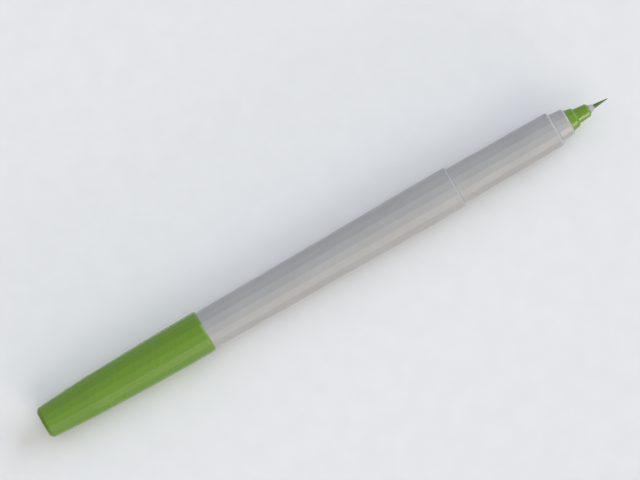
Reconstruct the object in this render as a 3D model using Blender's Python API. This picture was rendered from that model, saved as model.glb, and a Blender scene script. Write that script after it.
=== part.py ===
"""Felt tip marker with a sixteen-sided body, lying on a level surface with its cap posted on its tail.

Every piece is turned about the pen's axis, which is the local Z of the empty "pen_axis".
Heights run along that axis in millimetres from the shoulder, where the barrel steps down
to the grip: plus towards the point, minus towards the tail. Inside the cap, depths run from
its mouth towards its closed end. A radius of a sixteen-sided surface is that of its corners.
"""

import math

import bmesh
import bpy
from mathutils import Matrix, Vector

MM = 0.001
FLATS = 16  # flats round the body, cap and nose
SIDES = 3 * FLATS  # sides of a round surface, so that every third one meets a corner
FINE = 24  # sides of the smallest round pieces
WELD = 1e-7  # metres: points this close are one point
SHARP = math.radians(18)
DOWN = -math.pi / FLATS  # the angle round the axis of the flat that faces down

# Driving dimensions, in millimetres
BODY_RADIUS = 5.43
BARREL_LENGTH = 90.8
POSTED_DEPTH = 20.0  # how far the barrel reaches into the posted cap
CAP_LENGTH = 45.9
GRIP_LENGTH = 28.55
COLLAR_LENGTH = 3.57
HOLDER_LENGTH = 5.65  # of the part of the nib holder that shows
POINT_HEIGHT = 43.05  # from the shoulder to the nib's point
INK_RADIUS = 3.40  # the fibre reservoir
NIB_RADIUS = 0.52

# Fits between pieces, in millimetres
FIT = 0.04  # radial gap of a press fit
FACE = 0.03  # gap between two faces that meet
CHAMFER = 0.30  # on the edge of a hidden spigot

# Sizes that follow from those
FILM_INNER = INK_RADIUS + 0.05
FILM_OUTER = FILM_INNER + 0.10
BORE = FILM_OUTER + 0.05  # inside of the barrel and of the grip
MOUTH_HEIGHT = POSTED_DEPTH - BARREL_LENGTH  # the posted cap's mouth
TAIL_HEIGHT = MOUTH_HEIGHT - CAP_LENGTH
MIDDLE = (POINT_HEIGHT + TAIL_HEIGHT) / 2
AXIS_HEIGHT = BODY_RADIUS * math.cos(math.pi / FLATS)
COLLAR_REAR = GRIP_LENGTH + FACE
HOLDER_SHOULDER = COLLAR_REAR + COLLAR_LENGTH + FACE
FERRULE_SHOULDER = HOLDER_SHOULDER + HOLDER_LENGTH + FACE
FERRULE_FRONT = FERRULE_SHOULDER + 1.26
SPIGOT_LENGTH = 9.0  # of the grip, inside the barrel
SPIGOT_RADIUS = 4.32
SLEEVE_REAR = 20.0  # of the nose collar, inside the grip
HOLDER_REAR = 17.0
FERRULE_REAR = 31.2
STEM_RADIUS = 2.16  # of the nib holder, inside the nose collar
SHANK_RADIUS = 0.93  # of the ferrule, inside the nib holder
NIB_BORE = NIB_RADIUS + 0.03
NIB_REAR = 6.0
INK_REAR = -84.0
INK_FRONT = 14.0
AIR_SLOTS = 4
PLUG_SPIGOT = 5.7
PLUG_HEAD = 1.2
BREATHER_RADIUS = 0.50
BREATHER_OFFSET = 2.90  # from the pen's axis to the breather tube's
SEAT_DEPTH = 28.8  # where the cap's bore narrows to hold the inner seal
SEAL_END = 44.2
END_DEPTH = CAP_LENGTH - 0.78  # where the cap's shell ends and its end plug starts
VENTS = 3

GREEN = (0.310, 0.575, 0.085)
WHITE = (0.80, 0.80, 0.80)
NATURAL = (0.78, 0.80, 0.77)
INK_GREEN = (0.09, 0.36, 0.06)


def clear_scene():
    for old in list(bpy.data.objects):
        bpy.data.objects.remove(old)


def plastic(name, colour, roughness):
    made = bpy.data.materials.new(name)
    made.use_nodes = True
    shader = made.node_tree.nodes["Principled BSDF"]
    shader.inputs["Base Color"].default_value = (*colour, 1.0)
    shader.inputs["Roughness"].default_value = roughness
    shader.inputs["Metallic"].default_value = 0.0
    made.diffuse_color = (*colour, 1.0)
    return made


def empty(name, parent=None, height=0.0):
    made = bpy.data.objects.new(name, None)
    bpy.context.scene.collection.objects.link(made)
    made.parent = parent
    made.location = (0, 0, height * MM)
    return made


def flatted(points):
    """Outline points of a sixteen-sided surface."""
    return [(radius, height, True) for radius, height in points]


def rounded(points):
    """Outline points of a round surface."""
    return [(radius, height, False) for radius, height in points]


def in_depths(outline):
    """An outline inside the cap, whose points give depths instead of heights."""
    return [(radius, -depth, flat) for radius, depth, flat in outline]


def onto_flat(point):
    """Pulls a point of a round surface in to the side of the sixteen-sided one in it."""
    half = math.pi / FLATS
    from_middle = math.atan2(point.y, point.x) % (2 * half) - half
    share = math.cos(half) / math.cos(from_middle)
    point.x *= share
    point.y *= share


def turned(name, outline, parent, sides=SIDES):
    """A solid turned about Z from the closed outline of half its cross-section."""
    shape = bmesh.new()
    on_flat = shape.verts.layers.int.new("on_flat")
    points = []
    for radius, height, flat in outline:
        points.append(shape.verts.new((radius * MM, 0, height * MM)))
        points[-1][on_flat] = flat
    ends_on_axis = outline[0][0] == 0 and outline[-1][0] == 0
    pairs = list(zip(points, points[1:])) + ([] if ends_on_axis else [(points[-1], points[0])])
    edges = [shape.edges.new(pair) for pair in pairs]
    bmesh.ops.spin(
        shape,
        geom=[*points, *edges],
        cent=(0, 0, 0),
        axis=(0, 0, 1),
        angle=math.tau,
        steps=sides,
        use_merge=True,
    )
    bmesh.ops.remove_doubles(shape, verts=shape.verts, dist=WELD)
    bmesh.ops.recalc_face_normals(shape, faces=shape.faces)
    for point in shape.verts:
        if point[on_flat]:
            onto_flat(point.co)
    return as_object(name, shape, parent)


def as_object(name, shape, parent):
    mesh = bpy.data.meshes.new(name)
    shape.to_mesh(mesh)
    shape.free()
    mesh.shade_smooth()
    mesh.set_sharp_from_angle(angle=SHARP)
    made = bpy.data.objects.new(name, mesh)
    bpy.context.scene.collection.objects.link(made)
    made.parent = parent
    return made


def rod(name, radius, low, high, parent, sides=FINE):
    """A plain round cutter."""
    outline = rounded([(0, low), (radius, low), (radius, high), (0, high)])
    return turned(name, outline, parent, sides)


def cut(piece, tool):
    step = piece.modifiers.new(tool.name, "BOOLEAN")
    step.operation = "DIFFERENCE"
    step.solver = "EXACT"
    step.object = tool
    tool.hide_render = True
    tool.display_type = "WIRE"


def off_axis(angle, offset):
    """A place beside the axis, at an angle counted from the flat that faces down."""
    return Matrix.Rotation(DOWN + angle, 3, "Z") @ Vector((offset * MM, 0, 0))


def coloured(piece, material):
    piece.data.materials.append(material)
    return piece


def make_barrel(pen, material):
    outside = [
        (4.40, -BARREL_LENGTH),
        (4.60, 0.4 - BARREL_LENGTH),
        (4.97, MOUTH_HEIGHT),
        (5.09, -58.0),
        (5.20, -34.0),
        (BODY_RADIUS, -11.0),
        (BODY_RADIUS, -0.34),
        (4.84, 0.0),
    ]
    inside = [
        (SPIGOT_RADIUS + FIT, 0.0),
        (SPIGOT_RADIUS + FIT, -SPIGOT_LENGTH - CHAMFER),
        (BORE, -SPIGOT_LENGTH - CHAMFER),
        (BORE, -BARREL_LENGTH),
    ]
    return coloured(turned("barrel", flatted(outside) + rounded(inside), pen), material)


def make_grip_section(pen, material):
    outside = [
        (4.82, FACE),
        (4.80, 6.6),
        (4.71, 8.9),
        (4.65, 13.5),
        (4.67, 19.0),
        (4.575, GRIP_LENGTH - 0.60),
        (3.76, GRIP_LENGTH),
    ]
    rest = [
        (BORE, GRIP_LENGTH),
        (BORE, -SPIGOT_LENGTH),
        (SPIGOT_RADIUS - CHAMFER, -SPIGOT_LENGTH),
        (SPIGOT_RADIUS, CHAMFER - SPIGOT_LENGTH),
        (SPIGOT_RADIUS, FACE),
    ]
    return coloured(turned("grip_section", flatted(outside) + rounded(rest), pen), material)


def make_nose_collar(pen, material):
    front = COLLAR_REAR + COLLAR_LENGTH
    outside = [(3.725, COLLAR_REAR), (3.49, front - 0.42), (2.83, front)]
    rest = [
        (STEM_RADIUS + FIT, front),
        (STEM_RADIUS + FIT, SLEEVE_REAR),
        (BORE - FIT - CHAMFER, SLEEVE_REAR),
        (BORE - FIT, SLEEVE_REAR + CHAMFER),
        (BORE - FIT, COLLAR_REAR),
    ]
    return coloured(turned("nose_collar", flatted(outside) + rounded(rest), pen), material)


def make_nib_holder(pen, material):
    front = HOLDER_SHOULDER + HOLDER_LENGTH
    outside = [
        (2.79, HOLDER_SHOULDER),
        (2.49, front - 3.98),
        (1.96, front - 3.50),
        (1.65, front - 0.43),
        (1.15, front),
    ]
    rest = [
        (SHANK_RADIUS + FIT, front),
        (SHANK_RADIUS + FIT, FERRULE_REAR - FACE),
        (NIB_BORE + FIT, FERRULE_REAR - FACE),
        (NIB_BORE + FIT, HOLDER_REAR),
        (STEM_RADIUS - CHAMFER, HOLDER_REAR),
        (STEM_RADIUS, HOLDER_REAR + CHAMFER),
        (STEM_RADIUS, HOLDER_SHOULDER),
    ]
    holder = turned("nib_holder", flatted(outside) + rounded(rest), pen)
    for index in range(AIR_SLOTS):
        cut(holder, make_air_slot(pen, index))
    return coloured(holder, material)


def make_air_slot(pen, index):
    """Cuts one of the channels along the stem that let air back to the reservoir."""
    width, depth, length = 0.5, 0.6, 11.0
    angle = math.tau * (index + 0.5) / AIR_SLOTS
    shape = bmesh.new()
    bmesh.ops.create_cube(shape, size=1.0)
    bmesh.ops.scale(shape, vec=Vector((2 * depth, width, length)) * MM, verts=shape.verts)
    slot = as_object(f"air_slot_{index + 1}", shape, pen)
    slot.rotation_euler.z = DOWN + angle
    slot.location = off_axis(angle, STEM_RADIUS)
    slot.location.z = (HOLDER_REAR + length / 2 - 1.0) * MM
    return slot


def make_nib_ferrule(pen, material):
    outline = [
        (NIB_BORE, FERRULE_REAR),
        (NIB_BORE, FERRULE_FRONT),
        (NIB_BORE + 0.07, FERRULE_FRONT),
        (1.13, FERRULE_SHOULDER),
        (SHANK_RADIUS, FERRULE_SHOULDER),
        (SHANK_RADIUS, FERRULE_REAR + CHAMFER),
        (SHANK_RADIUS - 0.15, FERRULE_REAR),
    ]
    return coloured(turned("nib_ferrule", rounded(outline), pen, FINE), material)


def make_fibre_nib(pen, material):
    tip = 0.09
    outline = [
        (0, POINT_HEIGHT),
        (0.7 * tip, POINT_HEIGHT - 0.3 * tip),
        (tip, POINT_HEIGHT - tip),
        (NIB_RADIUS, FERRULE_FRONT),
        (NIB_RADIUS, NIB_REAR + CHAMFER),
        (NIB_RADIUS - 0.15, NIB_REAR),
        (0, NIB_REAR),
    ]
    return coloured(turned("fibre_nib", rounded(outline), pen, FINE), material)


def make_reservoir_core(pen, material):
    core = rod("reservoir_core", INK_RADIUS, INK_REAR, INK_FRONT, pen, SIDES)
    cut(core, rod("nib_socket", NIB_BORE, NIB_REAR - FACE, INK_FRONT + 1, pen))
    groove = rod("groove", BREATHER_RADIUS + 0.05, INK_REAR - 1, INK_FRONT + 1, pen)
    groove.location = off_axis(0, BREATHER_OFFSET)
    cut(core, groove)
    return coloured(core, material)


def make_reservoir_film(pen, material):
    rear, front = INK_REAR - 0.3, INK_FRONT - 0.2
    outline = [(FILM_INNER, rear), (FILM_OUTER, rear), (FILM_OUTER, front), (FILM_INNER, front)]
    return coloured(turned("reservoir_film", rounded(outline), pen), material)


def make_breather_tube(pen, material):
    inner = 0.30
    rear, front = INK_REAR - 0.2, INK_FRONT + 0.6
    outline = [(inner, rear), (BREATHER_RADIUS, rear), (BREATHER_RADIUS, front), (inner, front)]
    tube = turned("breather_tube", rounded(outline), pen, FINE)
    tube.location = off_axis(0, BREATHER_OFFSET)
    return coloured(tube, material)


def make_tail_plug(pen, material):
    hollow_radius = 2.70
    seat = -BARREL_LENGTH - FACE
    spigot_front = seat + PLUG_SPIGOT
    head = [(4.10, seat - PLUG_HEAD), (4.40, seat - PLUG_HEAD + CHAMFER), (4.40, seat)]
    rest = [
        (BORE - FIT, seat),
        (BORE - FIT, spigot_front - CHAMFER),
        (BORE - FIT - CHAMFER, spigot_front),
        (hollow_radius, spigot_front),
        (hollow_radius, seat),
        (0, seat),
    ]
    outline = [(0, seat - PLUG_HEAD, False), *flatted(head), *rounded(rest)]
    return coloured(turned("tail_plug", outline, pen), material)


def make_cap_shell(cap, material):
    outside = [
        (5.18, 0.0),
        (BODY_RADIUS, 0.50),
        (BODY_RADIUS, 4.50),
        (5.37, 12.0),
        (4.90, 32.6),
        (4.10, END_DEPTH),
    ]
    inside = [
        (3.55, END_DEPTH),
        (4.38, 32.6),
        (4.42, SEAT_DEPTH),
        (4.60, SEAT_DEPTH - 0.5),
        (4.72, 19.0),
        (4.78, 13.0),
        (4.90, 6.0),
        (5.00, 0.0),
    ]
    outline = in_depths(flatted(outside) + rounded(inside))
    return coloured(turned("cap_shell", outline, cap), material)


def make_cap_inner_seal(cap, material):
    outline = [
        (0, SEAL_END),
        (3.57, SEAL_END),
        (4.34, 32.6),
        (4.38, SEAT_DEPTH + 0.3),
        (3.95, SEAT_DEPTH + 0.3),
        (3.66, 30.4),
        (3.60, 31.9),
        (3.20, 32.5),
        (3.05, SEAL_END - 0.6),
        (0, SEAL_END - 0.6),
    ]
    return coloured(turned("cap_inner_seal", in_depths(rounded(outline)), cap), material)


def make_cap_end_plug(cap, material):
    vent_radius, vent_offset = 0.40, 1.9
    shoulder = END_DEPTH + FACE
    spigot_end = SEAL_END + 0.1
    head = [(4.10, shoulder), (3.32, CAP_LENGTH)]
    spigot = [(0, spigot_end), (3.50, spigot_end), (3.50, shoulder)]
    outline = in_depths([*rounded(spigot), *flatted(head), (0, CAP_LENGTH, False)])
    plug = turned("cap_end_plug", outline, cap)
    for index in range(VENTS):
        vent = rod(f"vent_{index + 1}", vent_radius, -CAP_LENGTH - 1, -SEAL_END + 1, cap)
        vent.location = off_axis(math.tau * index / VENTS, vent_offset)
        cut(plug, vent)
    return coloured(plug, material)


def main():
    clear_scene()
    green = plastic("green_plastic", GREEN, 0.38)
    white = plastic("white_plastic", WHITE, 0.42)
    natural = plastic("natural_plastic", NATURAL, 0.35)
    film = plastic("film", NATURAL, 0.20)
    nib = plastic("nib_fibre", INK_GREEN, 0.75)
    ink = plastic("ink_fibre", INK_GREEN, 0.90)

    # The axis lies along +X, point first, turned so that a flat faces straight down.
    pen = empty("pen_axis")
    pen.rotation_mode = "ZYX"
    pen.rotation_euler = (0, math.pi / 2, -DOWN)
    pen.location = (-MIDDLE * MM, 0, AXIS_HEIGHT * MM)
    cap = empty("cap_slide", pen, MOUTH_HEIGHT)

    make_barrel(pen, white)
    make_grip_section(pen, white)
    make_nose_collar(pen, white)
    make_nib_holder(pen, green)
    make_nib_ferrule(pen, white)
    make_fibre_nib(pen, nib)
    make_reservoir_core(pen, ink)
    make_reservoir_film(pen, film)
    make_breather_tube(pen, natural)
    make_tail_plug(pen, green)
    make_cap_shell(cap, green)
    make_cap_inner_seal(cap, natural)
    make_cap_end_plug(cap, green)


main()
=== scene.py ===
"""The looks of a felt tip marker that lies on a pale floor with its cap posted on its tail.

Each piece is turned about the pen's axis and has its origin on it, at the shoulder where the
barrel steps down to the grip. Along a piece's own X, heights are measured from that shoulder,
plus towards the point. Outlines are (radius, height) in millimetres, and the radius of a
sixteen-sided surface is that of its corners.
"""

import math
import random

import bmesh
import bpy
from mathutils import Matrix, Vector


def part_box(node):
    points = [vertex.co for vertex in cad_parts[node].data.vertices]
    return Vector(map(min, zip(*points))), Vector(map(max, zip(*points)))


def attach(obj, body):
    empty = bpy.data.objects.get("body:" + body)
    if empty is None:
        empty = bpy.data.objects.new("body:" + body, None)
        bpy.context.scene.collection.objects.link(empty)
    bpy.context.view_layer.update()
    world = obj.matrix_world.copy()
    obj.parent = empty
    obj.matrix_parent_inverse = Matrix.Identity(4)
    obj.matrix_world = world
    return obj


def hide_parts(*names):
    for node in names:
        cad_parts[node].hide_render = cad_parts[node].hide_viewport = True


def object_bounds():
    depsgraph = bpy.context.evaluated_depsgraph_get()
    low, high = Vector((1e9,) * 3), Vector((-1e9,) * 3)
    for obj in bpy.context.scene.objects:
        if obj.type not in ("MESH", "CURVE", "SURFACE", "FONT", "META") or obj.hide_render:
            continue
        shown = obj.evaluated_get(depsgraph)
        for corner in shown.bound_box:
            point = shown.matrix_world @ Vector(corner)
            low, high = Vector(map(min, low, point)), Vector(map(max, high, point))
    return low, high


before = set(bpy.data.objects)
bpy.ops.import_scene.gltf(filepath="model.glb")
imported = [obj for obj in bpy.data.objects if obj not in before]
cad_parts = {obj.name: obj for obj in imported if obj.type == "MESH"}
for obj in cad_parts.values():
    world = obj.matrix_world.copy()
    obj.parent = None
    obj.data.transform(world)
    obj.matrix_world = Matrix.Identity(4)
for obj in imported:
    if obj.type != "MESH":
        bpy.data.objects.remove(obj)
CAD_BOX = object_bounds()

MM = 0.001
FLATS = 16
HALF_FLAT = math.pi / FLATS
CORNER_POINTS = 4  # points round each softened corner of the cross-section
CORNER_SHARE = 0.085  # radius of such a corner, as a share of the surface's own
SIDES = FLATS * CORNER_POINTS
ROUND_STEPS = 4  # steps of the arc that softens an edge of an outline
LONGEST_REACH = 0.45  # of that arc, as a share of the outline's straight beside it
SHARP = math.radians(40)

SHOULDER_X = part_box("barrel")[1].x
AXIS_Z = (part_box("cap_shell")[0].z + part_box("cap_shell")[1].z) / 2
BODY_RADIUS = (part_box("cap_shell")[1].z - AXIS_Z) / math.cos(HALF_FLAT) / MM
FIT = 0.04  # radial gap between pressed pieces
FACE = 0.03  # gap between two faces that meet
CHAMFER = 0.3  # on the edge of a hidden spigot
BORE = (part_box("reservoir_film")[1].z - AXIS_Z) / MM + 0.05


def ends(node):
    """Rear and front of a CAD node, as heights from the shoulder in millimetres."""
    low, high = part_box(node)
    return (low.x - SHOULDER_X) / MM, (high.x - SHOULDER_X) / MM


# ---------------------------------------------------------------- turned shapes


def softened(outline, closed=True):
    """Rounds the outline's corners. A point is (radius, height, flat, softness)."""
    result = []
    count = len(outline)
    for index, (radius, height, flat, softness) in enumerate(outline):
        before = Vector(outline[index - 1][:2])
        here = Vector((radius, height))
        after = Vector(outline[(index + 1) % count][:2])
        inner = closed or 0 < index < count - 1
        if not softness or not inner:
            result.append((radius, height, flat))
            continue
        reach_in = min(softness, (before - here).length * LONGEST_REACH)
        reach_out = min(softness, (after - here).length * LONGEST_REACH)
        start = here + (before - here).normalized() * reach_in
        end = here + (after - here).normalized() * reach_out
        for step in range(ROUND_STEPS + 1):
            share = step / ROUND_STEPS
            point = start.lerp(here, share).lerp(here.lerp(end, share), share)
            result.append((point.x, point.y, flat))
    return result


def ring_point(index, radius, flat):
    """One point of a ring, as (y, z). A flat faces down, and the corners are softened."""
    corner, place = divmod(index, CORNER_POINTS)
    middle = (2 * corner + 1) * HALF_FLAT
    if flat:
        arc = CORNER_SHARE * radius
        turn = HALF_FLAT * (2 * place / (CORNER_POINTS - 1) - 1)
        centre = radius - arc / math.cos(HALF_FLAT)
    else:
        arc = radius
        turn = HALF_FLAT * ((2 * place + 1) / CORNER_POINTS - 1)
        centre = 0.0
    side = centre * math.sin(middle) + arc * math.sin(middle + turn)
    down = centre * math.cos(middle) + arc * math.cos(middle + turn)
    return side, -down


def turned(name, outline, sides=SIDES):
    """A closed solid turned from an outline, which may start and end on the axis."""
    shape = bmesh.new()
    rings = []
    for radius, height, flat in outline:
        if radius == 0:
            rings.append([shape.verts.new((height * MM, 0, 0))])
            continue
        ring = []
        for index in range(sides):
            if sides == SIDES:
                side, up = ring_point(index, radius, flat)
            else:
                angle = math.tau * index / sides
                side = radius * math.sin(angle)
                up = -radius * math.cos(angle)
            ring.append(shape.verts.new((height * MM, side * MM, up * MM)))
        rings.append(ring)
    pairs = list(zip(rings, rings[1:]))
    if len(rings[0]) > 1:
        pairs.append((rings[-1], rings[0]))
    for first, second in pairs:
        for index in range(sides):
            after = (index + 1) % sides
            corners = [first[index % len(first)], first[after % len(first)]]
            corners += [second[after % len(second)], second[index % len(second)]]
            shape.faces.new(list(dict.fromkeys(corners)))
    bmesh.ops.recalc_face_normals(shape, faces=shape.faces)
    return as_piece(name, shape)


def as_piece(name, shape):
    mesh = bpy.data.meshes.new(name)
    shape.to_mesh(mesh)
    shape.free()
    mesh.shade_smooth()
    mesh.set_sharp_from_angle(angle=SHARP)
    piece = bpy.data.objects.new(name, mesh)
    bpy.context.scene.collection.objects.link(piece)
    piece.location = (SHOULDER_X, 0, AXIS_Z)
    return piece


def carved(piece, cutter):
    """Cuts the cutter's shape out of the piece for good, and removes the cutter."""
    step = piece.modifiers.new("carve", "BOOLEAN")
    step.operation = "DIFFERENCE"
    step.solver = "EXACT"
    step.object = cutter
    bpy.context.view_layer.update()
    graph = bpy.context.evaluated_depsgraph_get()
    mesh = bpy.data.meshes.new_from_object(piece.evaluated_get(graph))
    piece.modifiers.clear()
    piece.data = mesh
    mesh.set_sharp_from_angle(angle=SHARP)
    bpy.data.objects.remove(cutter)


def settle(piece, body, node, material):
    """Gives a finished piece its normals, finish, body and CAD node."""
    weighted = piece.modifiers.new("face_weighted", "WEIGHTED_NORMAL")
    weighted.keep_sharp = True
    piece.data.materials.clear()
    piece.data.materials.append(material)
    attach(piece, body)
    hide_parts(node)


def flats(points):
    """Sixteen-sided outline points with softened edges."""
    return [(radius, height, True, softness) for radius, height, softness in points]


def rounds(points):
    """Round outline points with softened edges."""
    return [(radius, height, False, softness) for radius, height, softness in points]


# ---------------------------------------------------------------- pieces

SPIGOT_RADIUS = 4.32  # of the grip, inside the barrel
STEM_RADIUS = 2.16  # of the nib holder, inside the nose collar
SHANK_RADIUS = 0.93  # of the ferrule, inside the nib holder
NIB_RADIUS = 0.52
NIB_BORE = NIB_RADIUS + 0.03
SEAT_DEPTH = 28.8  # where the cap's bore narrows to hold the inner seal
SEAL_DEPTH = 32.6  # where its taper steepens

def make_barrel(material):
    rear, front = ends("barrel")
    mouth = ends("cap_shell")[1]
    spigot_rear = ends("grip_section")[0]
    outside = [
        (4.40, rear, 0.10),
        (4.60, rear + 0.40, 0.10),
        (4.97, mouth, 0),
        (5.09, mouth * 0.82, 0),
        (5.20, mouth * 0.48, 0),
        (BODY_RADIUS, -11.0, 1.5),
        (BODY_RADIUS, front - 0.34, 0.08),
        (4.84, front, 0.06),
    ]
    inside = [
        (SPIGOT_RADIUS + FIT, front, 0.05),
        (SPIGOT_RADIUS + FIT, spigot_rear - CHAMFER, 0.05),
        (BORE, spigot_rear - CHAMFER, 0.05),
        (BORE, rear, 0.10),
    ]
    piece = turned("barrel_body", softened(flats(outside) + rounds(inside)))
    settle(piece, "pen", "barrel", material)


def make_grip_section(material):
    rear, front = ends("grip_section")
    outside = [
        (4.82, FACE, 0.04),
        (4.80, 6.6, 1.0),
        (4.71, 8.9, 1.0),
        (4.65, 13.5, 2.0),
        (4.67, 19.0, 2.0),
        (4.575, front - 0.60, 0.09),
        (3.76, front, 0.07),
    ]
    rest = [
        (BORE, front, 0.04),
        (BORE, rear, 0.05),
        (SPIGOT_RADIUS - CHAMFER, rear, 0.05),
        (SPIGOT_RADIUS, rear + CHAMFER, 0.05),
        (SPIGOT_RADIUS, FACE, 0.02),
    ]
    piece = turned("grip_body", softened(flats(outside) + rounds(rest)))
    settle(piece, "pen", "grip_section", material)


def make_nose_collar(material):
    rear, front = ends("nose_collar")
    step = ends("grip_section")[1] + FACE
    outside = [(3.725, step, 0.03), (3.49, front - 0.42, 0.07), (2.83, front, 0.05)]
    rest = [
        (STEM_RADIUS + FIT, front, 0.03),
        (STEM_RADIUS + FIT, rear, 0.05),
        (BORE - FIT - CHAMFER, rear, 0.05),
        (BORE - FIT, rear + CHAMFER, 0.05),
        (BORE - FIT, step, 0.02),
    ]
    piece = turned("nose_collar_body", softened(flats(outside) + rounds(rest)))
    settle(piece, "pen", "nose_collar", material)


def make_nib_holder(material):
    rear, front = ends("nib_holder")
    step = ends("nose_collar")[1] + FACE
    seat = ends("nib_ferrule")[0] - FACE
    outside = [
        (2.79, step, 0.02),
        (2.49, front - 3.98, 0.06),
        (1.96, front - 3.50, 0.03),
        (1.65, front - 0.43, 0.06),
        (1.15, front, 0.03),
    ]
    rest = [
        (SHANK_RADIUS + FIT, front, 0.02),
        (SHANK_RADIUS + FIT, seat, 0.02),
        (NIB_BORE + FIT, seat, 0.02),
        (NIB_BORE + FIT, rear, 0.05),
        (STEM_RADIUS - CHAMFER, rear, 0.05),
        (STEM_RADIUS, rear + CHAMFER, 0.05),
        (STEM_RADIUS, step, 0.02),
    ]
    piece = turned("nib_holder_body", softened(flats(outside) + rounds(rest)))
    settle(piece, "pen", "nib_holder", material)


def make_nib_ferrule(material):
    rear, front = ends("nib_ferrule")
    step = ends("nib_holder")[1] + FACE
    outline = [
        (NIB_BORE, rear, 0.03),
        (NIB_BORE, front, 0.02),
        (NIB_BORE + 0.07, front, 0.03),
        (0.98, step + 0.30, 0.12),
        (1.13, step, 0.03),
        (SHANK_RADIUS, step, 0.02),
        (SHANK_RADIUS, rear + CHAMFER, 0.05),
        (SHANK_RADIUS - 0.15, rear, 0.03),
    ]
    piece = turned("nib_ferrule_body", softened(rounds(outline)))
    settle(piece, "pen", "nib_ferrule", material)


def make_fibre_nib(material):
    """A needle of bonded fibres, whose surface is a little uneven round and along."""
    rear, point = ends("fibre_nib")
    cone = ends("nib_ferrule")[1]
    tip = 0.085
    bulge = 0.10  # how far the cone swells half way, as a share of its radius
    steps = 30
    outline = [
        (0, rear, False),
        (NIB_RADIUS - 0.15, rear, False),
        (NIB_RADIUS, rear + CHAMFER, False),
    ]
    for step in range(steps):
        share = step / steps
        swell = 1 + bulge * math.sin(math.pi * share)
        radius = NIB_RADIUS * (1 - share) * swell + tip * share
        outline.append((radius, cone + (point - cone) * share, False))
    outline.append((0.6 * tip, point - 0.02, False))
    outline.append((0, point, False))
    piece = turned("fibre_nib_body", outline)

    draw = random.Random(7)
    twist = 0.9  # radians per millimetre along the nib
    lobes = []
    for count in (5, 9, 14, 21):
        lobes.append((count, draw.uniform(0.004, 0.012), draw.uniform(0, math.tau)))
    for vertex in piece.data.vertices:
        angle = math.atan2(vertex.co.y, vertex.co.z)
        along = vertex.co.x / MM
        share = 1.0
        for count, depth, phase in lobes:
            share += depth * math.sin(count * angle + phase + along * twist)
        share = min(share, 1.0)
        vertex.co.y *= share
        vertex.co.z *= share
    settle(piece, "pen", "fibre_nib", material)


def make_tail_plug(material):
    rear, front = ends("tail_plug")
    seat = ends("barrel")[0] - FACE
    hollow_radius = 2.70
    head = [(4.10, rear, 0.12), (4.40, rear + CHAMFER, 0.12), (4.40, seat, 0.03)]
    rest = [
        (BORE - FIT, seat, 0.02),
        (BORE - FIT, front - CHAMFER, 0.05),
        (BORE - FIT - CHAMFER, front, 0.05),
        (hollow_radius, front, 0.05),
        (hollow_radius, seat, 0.05),
        (0, seat, 0),
    ]
    outline = [(0, rear, False, 0), *flats(head), *rounds(rest)]
    piece = turned("tail_plug_body", softened(outline, closed=False))
    settle(piece, "pen", "tail_plug", material)


def in_cap(points):
    """Points given as (radius, depth from the cap's mouth, softness), in heights from the shoulder."""
    mouth = ends("cap_shell")[1]
    return [(radius, mouth - depth, softness) for radius, depth, softness in points]


def make_cap_shell(material):
    rear, mouth = ends("cap_shell")
    end = mouth - rear
    outside = [
        (5.18, 0.0, 0.04),
        (BODY_RADIUS, 0.50, 0.09),
        (BODY_RADIUS, 4.50, 1.0),
        (5.37, 12.0, 3.0),
        (4.90, SEAL_DEPTH, 1.0),
        (4.10, end, 0.02),
    ]
    inside = [
        (3.55, end, 0.02),
        (4.38, SEAL_DEPTH, 0.5),
        (4.42, SEAT_DEPTH, 0.02),
        (4.60, SEAT_DEPTH - 0.5, 0.10),
        (4.72, 19.0, 0),
        (4.78, 13.0, 0),
        (4.90, 6.0, 0),
        (5.00, 0.0, 0.02),
    ]
    piece = turned("cap_shell_body", softened(flats(in_cap(outside)) + rounds(in_cap(inside))))
    settle(piece, "cap", "cap_shell", material)


def make_cap_end_plug(material):
    rear, front = ends("cap_end_plug")
    shoulder = ends("cap_shell")[0] - FACE
    head = [(4.10, shoulder, 0.02), (3.32, rear, 0.14)]
    spigot = [(0, front, 0), (3.50, front, 0.05), (3.50, shoulder, 0.02)]
    outline = [*rounds(spigot), *flats(head), (0, rear, False, 0)]
    piece = turned("cap_end_plug_body", softened(outline, closed=False))
    vents, vent_radius, flare_radius, vent_offset = 3, 0.40, 0.90, 1.9
    for index in range(vents):
        vent_outline = [
            (0, rear - 1, False),
            (flare_radius, rear - 1, False),
            (flare_radius, rear - 0.1, False),
            (vent_radius, rear + 0.12, False),
            (vent_radius, front + 1, False),
            (0, front + 1, False),
        ]
        vent = turned("vent_cutter", vent_outline, sides=32)
        angle = math.tau * index / vents
        offset = Vector((0, math.sin(angle), -math.cos(angle)))
        vent.location += offset * vent_offset * MM
        carved(piece, vent)
    settle(piece, "cap", "cap_end_plug", material)


# ---------------------------------------------------------------- materials
#
# The scales of a noise are in features per metre, along the pen and across it. The depths of
# a bump are in metres.


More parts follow.
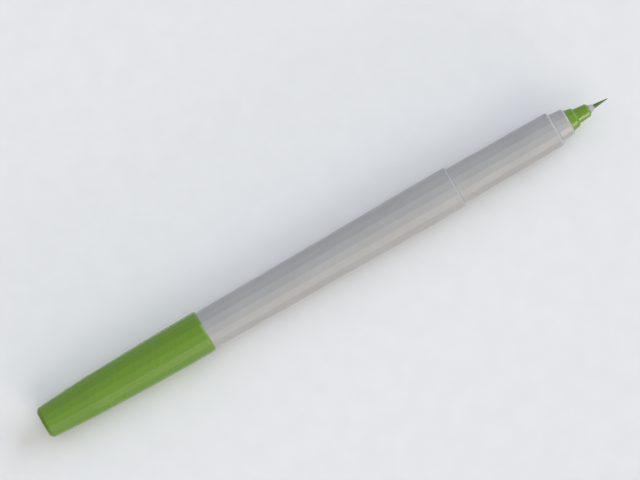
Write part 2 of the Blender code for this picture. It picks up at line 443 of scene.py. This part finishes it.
class Nodes:
    """A material's node tree, with short ways to add and join nodes."""

    def __init__(self, name):
        self.material = bpy.data.materials.new(name)
        self.material.use_nodes = True
        self.tree = self.material.node_tree
        self.shader = self.tree.nodes["Principled BSDF"]
        self.place = self.tree.nodes.new("ShaderNodeTexCoord").outputs["Object"]

    def add(self, kind, inputs=(), **settings):
        node = self.tree.nodes.new(kind)
        for key, value in settings.items():
            setattr(node, key, value)
        for key, value in dict(inputs).items():
            if isinstance(value, bpy.types.NodeSocket):
                self.tree.links.new(value, node.inputs[key])
            else:
                node.inputs[key].default_value = value
        return node

    def stretched(self, along, across):
        """The place on the piece, stretched along the pen by different shares."""
        return self.add(
            "ShaderNodeMapping", {"Vector": self.place, "Scale": (along, across, across)}
        ).outputs["Vector"]

    def noise(self, place, detail=2.0, roughness=0.5, scale=1.0):
        inputs = {"Vector": place, "Scale": scale, "Detail": detail, "Roughness": roughness}
        return self.add("ShaderNodeTexNoise", inputs).outputs["Fac"]

    def spread(self, value, low, high, to_low, to_high):
        """Stretches the value's range from low to high over to_low to to_high."""
        inputs = {"Value": value, 1: low, 2: high, 3: to_low, 4: to_high}
        return self.add("ShaderNodeMapRange", inputs).outputs["Result"]

    def sum(self, first, second):
        return self.add("ShaderNodeMath", {0: first, 1: second}, operation="ADD").outputs[0]

    def product(self, first, second):
        return self.add("ShaderNodeMath", {0: first, 1: second}, operation="MULTIPLY").outputs[0]

    def blend(self, share, first, second):
        """A colour between two, by share."""
        node = self.add("ShaderNodeMix", data_type="RGBA")
        for key, value in ((0, share), (6, first), (7, second)):
            if isinstance(value, bpy.types.NodeSocket):
                self.tree.links.new(value, node.inputs[key])
            else:
                node.inputs[key].default_value = value
        return node.outputs[2]

    def bump(self, height, distance, strength, under=None):
        """A relief, which may lie on top of another."""
        inputs = {"Height": height, "Distance": distance, "Strength": strength}
        if under is not None:
            inputs["Normal"] = under
        return self.add("ShaderNodeBump", inputs).outputs["Normal"]

    def set(self, **values):
        """Sets the shader's own sockets, or joins nodes to them."""
        for key, value in values.items():
            socket = self.shader.inputs[key.replace("_", " ")]
            if isinstance(value, bpy.types.NodeSocket):
                self.tree.links.new(value, socket)
            else:
                socket.default_value = value


def colour(red, green, blue):
    return (red, green, blue, 1.0)


def moulded(name, base, worn_and_highlight, deep, roughness, subsurface):
    """Moulded plastic: fine grain, faint flow lines, handling scuffs, and pale edges that are partly
    wear and partly a painted highlight on the corners.
    """
    grain_depth, flow_depth = 0.000012, 0.00002
    edge_wear_and_highlight, scuff_wear = 0.55, 0.07  # how far each turns the tint to the pale one; on the edges that paleness is partly wear, partly painted highlight

    nodes = Nodes(name)
    grain = nodes.noise(nodes.stretched(7000, 7000), detail=3.0, roughness=0.6)
    flow = nodes.noise(nodes.stretched(90, 1400), detail=3.0, roughness=0.55)
    cloud = nodes.noise(nodes.stretched(110, 260), detail=4.0, roughness=0.6)
    scuffs = nodes.noise(nodes.stretched(420, 3800), detail=5.0, roughness=0.7)
    scuffed = nodes.spread(scuffs, 0.60, 0.70, 0.0, 1.0)
    patchy = nodes.spread(cloud, 0.38, 0.62, 0.0, 1.0)
    # Pointiness pales the corners of the flats: partly edge wear, partly a painted highlight along
    # them.
    pointiness = nodes.add("ShaderNodeNewGeometry").outputs["Pointiness"]
    edge = nodes.spread(pointiness, 0.505, 0.56, 0.0, 1.0)
    worn_and_highlit_edge = nodes.product(edge, nodes.spread(cloud, 0.35, 0.7, 0.25, 0.9))

    tint = nodes.blend(patchy, base, deep)
    # Painted highlight and wear: the corners are turned towards the pale colour.
    tint = nodes.blend(nodes.product(worn_and_highlit_edge, edge_wear_and_highlight), tint, worn_and_highlight)
    tint = nodes.blend(nodes.product(scuffed, scuff_wear), tint, worn_and_highlight)
    rough = nodes.spread(patchy, 0.0, 1.0, roughness - 0.03, roughness + 0.04)
    rough = nodes.sum(rough, nodes.product(scuffed, 0.07))
    normal = nodes.bump(flow, flow_depth, 0.12)
    normal = nodes.bump(grain, grain_depth, 0.50, normal)
    nodes.set(
        Base_Color=tint,
        Roughness=rough,
        Normal=normal,
        IOR=1.49,
        Subsurface_Weight=subsurface,
        Subsurface_Radius=(1.0, 0.9, 0.7),
        Subsurface_Scale=0.0006,
    )
    return nodes.material


def fibre(name, wet, dry, roughness, strand_scale):
    """Bonded fibres that run along the pen, soaked unevenly with ink."""
    nodes = Nodes(name)
    strands = nodes.noise(nodes.stretched(500, strand_scale), detail=4.0, roughness=0.7)
    soak = nodes.noise(nodes.stretched(700, 1500), detail=3.0, roughness=0.6)
    tint = nodes.blend(nodes.spread(strands, 0.36, 0.64, 0.0, 1.0), wet, dry)
    tint = nodes.blend(nodes.spread(soak, 0.45, 0.75, 0.0, 0.5), tint, wet)
    nodes.set(
        Base_Color=tint,
        Roughness=nodes.spread(soak, 0.3, 0.7, roughness - 0.08, roughness + 0.08),
        Normal=nodes.bump(strands, 0.00003, 0.25),
        IOR=1.45,
    )
    return nodes.material


def clear_film(name):
    """Thin clear wrapping film, slightly milky and creased."""
    nodes = Nodes(name)
    creases = nodes.noise(nodes.stretched(160, 900), detail=4.0, roughness=0.65)
    creased = nodes.spread(creases, 0.4, 0.6, 0.0, 1.0)
    tint = nodes.blend(creased, colour(0.80, 0.84, 0.80), colour(0.66, 0.74, 0.66))
    nodes.set(
        Base_Color=tint,
        Roughness=nodes.spread(creases, 0.3, 0.7, 0.12, 0.28),
        Normal=nodes.bump(creases, 0.00004, 0.5),
        Transmission_Weight=0.35,
        IOR=1.5,
    )
    return nodes.material


def dress(node, material):
    """Puts a material on a CAD node that stays as it is."""
    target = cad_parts[node].data
    target.materials.clear()
    target.materials.append(material)


# ---------------------------------------------------------------- floor, light, camera


def make_floor():
    reach = 8.0  # metres
    clearance = 0.00002  # metres under the object's lowest points
    shape = bmesh.new()
    bmesh.ops.create_grid(shape, x_segments=1, y_segments=1, size=reach)
    mesh = bpy.data.meshes.new("floor")
    shape.to_mesh(mesh)
    shape.free()
    floor = bpy.data.objects.new("floor", mesh)
    bpy.context.scene.collection.objects.link(floor)
    floor.location.z = CAD_BOX[0].z - clearance
    nodes = Nodes("pale_floor")
    mottle = nodes.spread(nodes.noise(nodes.stretched(180, 180), detail=3.0), 0.35, 0.65, 0.0, 1.0)
    tint = nodes.blend(mottle, colour(0.79, 0.79, 0.79), colour(0.805, 0.805, 0.805))
    nodes.set(Base_Color=tint, Roughness=0.85)
    mesh.materials.append(nodes.material)


def make_sun(name, towards, energy, spread, tint):
    """A soft light, as wide as 'spread' degrees, from the side that 'towards' points to."""
    light = bpy.data.lights.new(name, "SUN")
    light.energy = energy
    light.angle = math.radians(spread)
    light.color = tint
    lamp = bpy.data.objects.new(name, light)
    bpy.context.scene.collection.objects.link(lamp)
    lamp.rotation_mode = "QUATERNION"
    lamp.rotation_quaternion = Vector(towards).to_track_quat("Z", "Y")


def make_lights():
    """A cool light from the far side, warm ones from the near side, a cool one on the nose."""
    make_sun("far_side", (0.0, 0.42, 0.91), 1.15, 100, (0.965, 0.975, 1.0))
    make_sun("near_side", (0.0, -0.50, 0.87), 0.36, 60, (1.0, 1.0, 0.97))
    make_sun("front_side", (0.0, -0.87, 0.50), 1.01, 42, (1.0, 0.94, 0.845))
    make_sun("low_warm", (0.229, -0.957, 0.172), 0.60, 8, (1.0, 0.86, 0.74))
    make_sun("tip_side", (1.0, 0.0, 0.36), 2.60, 64, (0.77, 0.865, 1.0))
    world = bpy.data.worlds.new("studio")
    bpy.context.scene.world = world
    world.use_nodes = True
    background = world.node_tree.nodes["Background"]
    background.inputs["Color"].default_value = colour(0.96, 0.98, 1.0)
    background.inputs["Strength"].default_value = 0.14


def make_camera():
    """A long lens that looks square at the pen's axis and at one corner of its flats."""
    lens, sensor = 800.0, 36.0
    pen_span = 1.0178  # the pen's length as a share of the picture's width
    shift_right, shift_down = 0.0086, 0.0333  # of the pen's middle, as shares of that width too
    roll = math.radians(30)
    elevation = math.pi / 2 - HALF_FLAT
    low, high = CAD_BOX
    view_width = (high.x - low.x) / pen_span
    across = Vector((0, math.sin(elevation), math.cos(elevation)))
    back = Vector((0, -math.cos(elevation), math.sin(elevation)))
    along = Vector((1, 0, 0))
    right = math.cos(roll) * along - math.sin(roll) * across
    up = math.sin(roll) * along + math.cos(roll) * across
    middle = Vector(((low.x + high.x) / 2, 0, AXIS_Z))
    aim = middle - right * shift_right * view_width + up * shift_down * view_width
    data = bpy.data.cameras.new("camera")
    data.lens, data.sensor_width = lens, sensor
    data.clip_start, data.clip_end = 0.1, 30.0
    camera = bpy.data.objects.new("camera", data)
    bpy.context.scene.collection.objects.link(camera)
    turn = Matrix((right, up, back)).transposed().to_4x4()
    camera.matrix_world = Matrix.Translation(aim + back * view_width * lens / sensor) @ turn
    bpy.context.scene.camera = camera
    bpy.context.scene.view_settings.view_transform = "Standard"


def main():
    make_camera()
    make_lights()
    make_floor()

    # The pale colours given for wear also paint a highlight on the corners of each plastic.
    white = moulded(
        "barrel_plastic",
        base=colour(0.374, 0.370, 0.369),
        worn_and_highlight=colour(0.50, 0.50, 0.50),
        deep=colour(0.353, 0.349, 0.348),
        roughness=0.34,
        subsurface=0.08,
    )
    green = moulded(
        "cap_plastic",
        base=colour(0.119, 0.244, 0.0080),
        worn_and_highlight=colour(0.22, 0.36, 0.08),
        deep=colour(0.108, 0.226, 0.0070),
        roughness=0.28,
        subsurface=0.06,
    )
    natural = moulded(
        "natural_plastic",
        base=colour(0.70, 0.71, 0.67),
        worn_and_highlight=colour(0.78, 0.78, 0.75),
        deep=colour(0.66, 0.67, 0.63),
        roughness=0.35,
        subsurface=0.20,
    )
    nib = fibre("nib_fibre", colour(0.020, 0.080, 0.010), colour(0.100, 0.170, 0.025), 0.27, 14000)
    ink = fibre("ink_fibre", colour(0.02, 0.12, 0.02), colour(0.10, 0.30, 0.06), 0.85, 6000)

    make_barrel(white)
    make_grip_section(white)
    make_nose_collar(white)
    make_nib_holder(green)
    make_nib_ferrule(white)
    make_fibre_nib(nib)
    make_tail_plug(green)
    make_cap_shell(green)
    make_cap_end_plug(green)
    dress("cap_inner_seal", natural)
    dress("breather_tube", natural)
    dress("reservoir_film", clear_film("wrap_film"))
    dress("reservoir_core", ink)


main()
bpy.context.view_layer.update()
